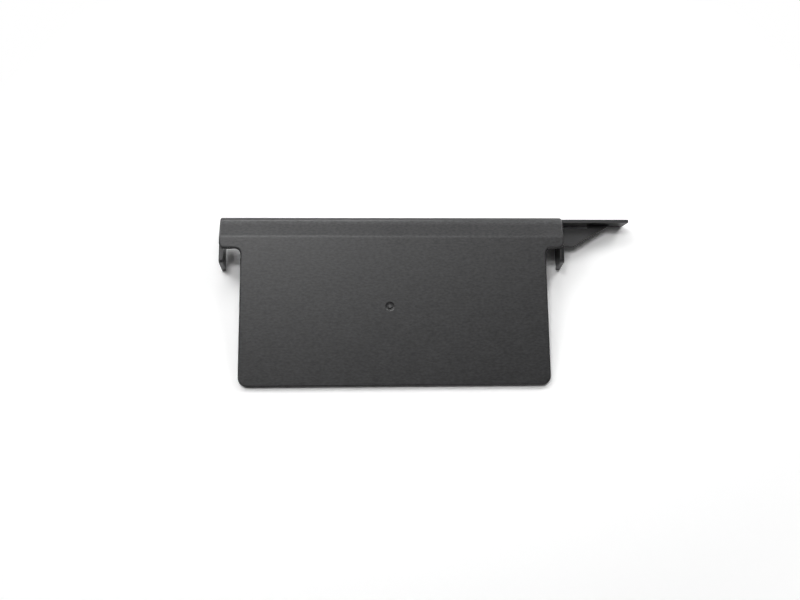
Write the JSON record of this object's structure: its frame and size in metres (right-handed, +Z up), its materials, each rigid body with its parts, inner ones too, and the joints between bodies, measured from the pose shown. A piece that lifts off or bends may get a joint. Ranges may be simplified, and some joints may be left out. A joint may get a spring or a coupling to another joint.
{
  "type": "battery bay bezel",
  "caption": "Moulded plastic bezel that closes a battery bay: flat tongue, leaning top band with a rear flange, end tabs and a side arm with a gusset.",
  "frame": {"origin": "middle of the box's footprint, on the surface that the bezel lies on", "axes": "+X across the face towards the arm, +Y towards the band at the top of the face, +Z up, out of the face that lies upwards"},
  "size_m": [0.213, 0.0888, 0.0154],
  "materials": {
    "moulding": "fine moulded grain, dark grey"
  },
  "bodies": {
    "root": {"bay_bezel": "moulding"}
  },
  "joints": []
}
